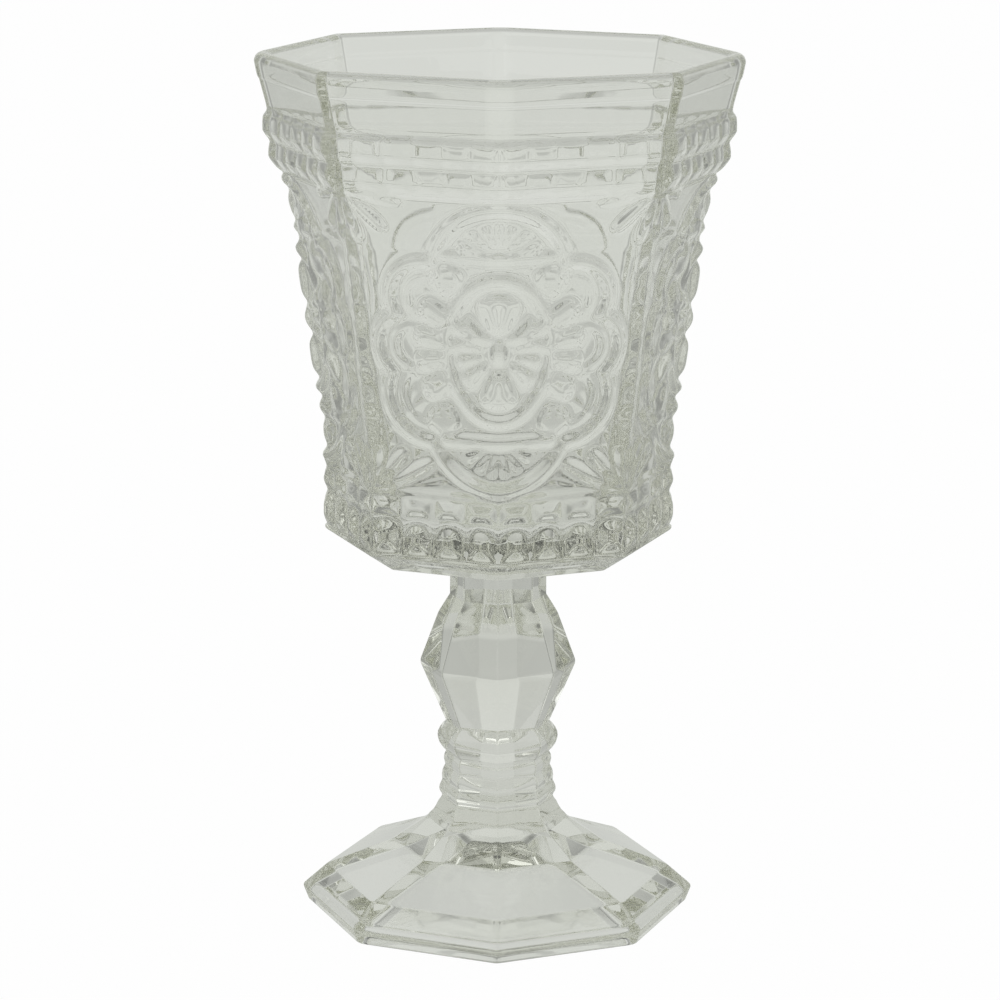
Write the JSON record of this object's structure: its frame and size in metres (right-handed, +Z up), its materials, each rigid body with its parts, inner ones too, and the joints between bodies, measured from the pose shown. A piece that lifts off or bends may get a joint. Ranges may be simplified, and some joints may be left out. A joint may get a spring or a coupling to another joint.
{
  "type": "stemmed drinking glass",
  "caption": "Eight-sided pressed-glass goblet: ornamented tapering bowl on a collar, faceted knop, ringed shank and stepped spreading foot, for holding wine or water.",
  "frame": {"origin": "centre of the face that the foot stands on", "axes": "+Z up the stem to the rim, -Y to the front corner of the eight-sided plan, +X to the right"},
  "size_m": [0.091, 0.091, 0.165],
  "materials": {
    "clear_glass": "clear pressed glass with a faint grey-green cast, smooth and fire-polished"
  },
  "bodies": {
    "root": {"foot": "clear_glass", "ringed_shank": "clear_glass", "stem_knop": "clear_glass", "stem_collar": "clear_glass", "bowl": "clear_glass"}
  },
  "joints": []
}
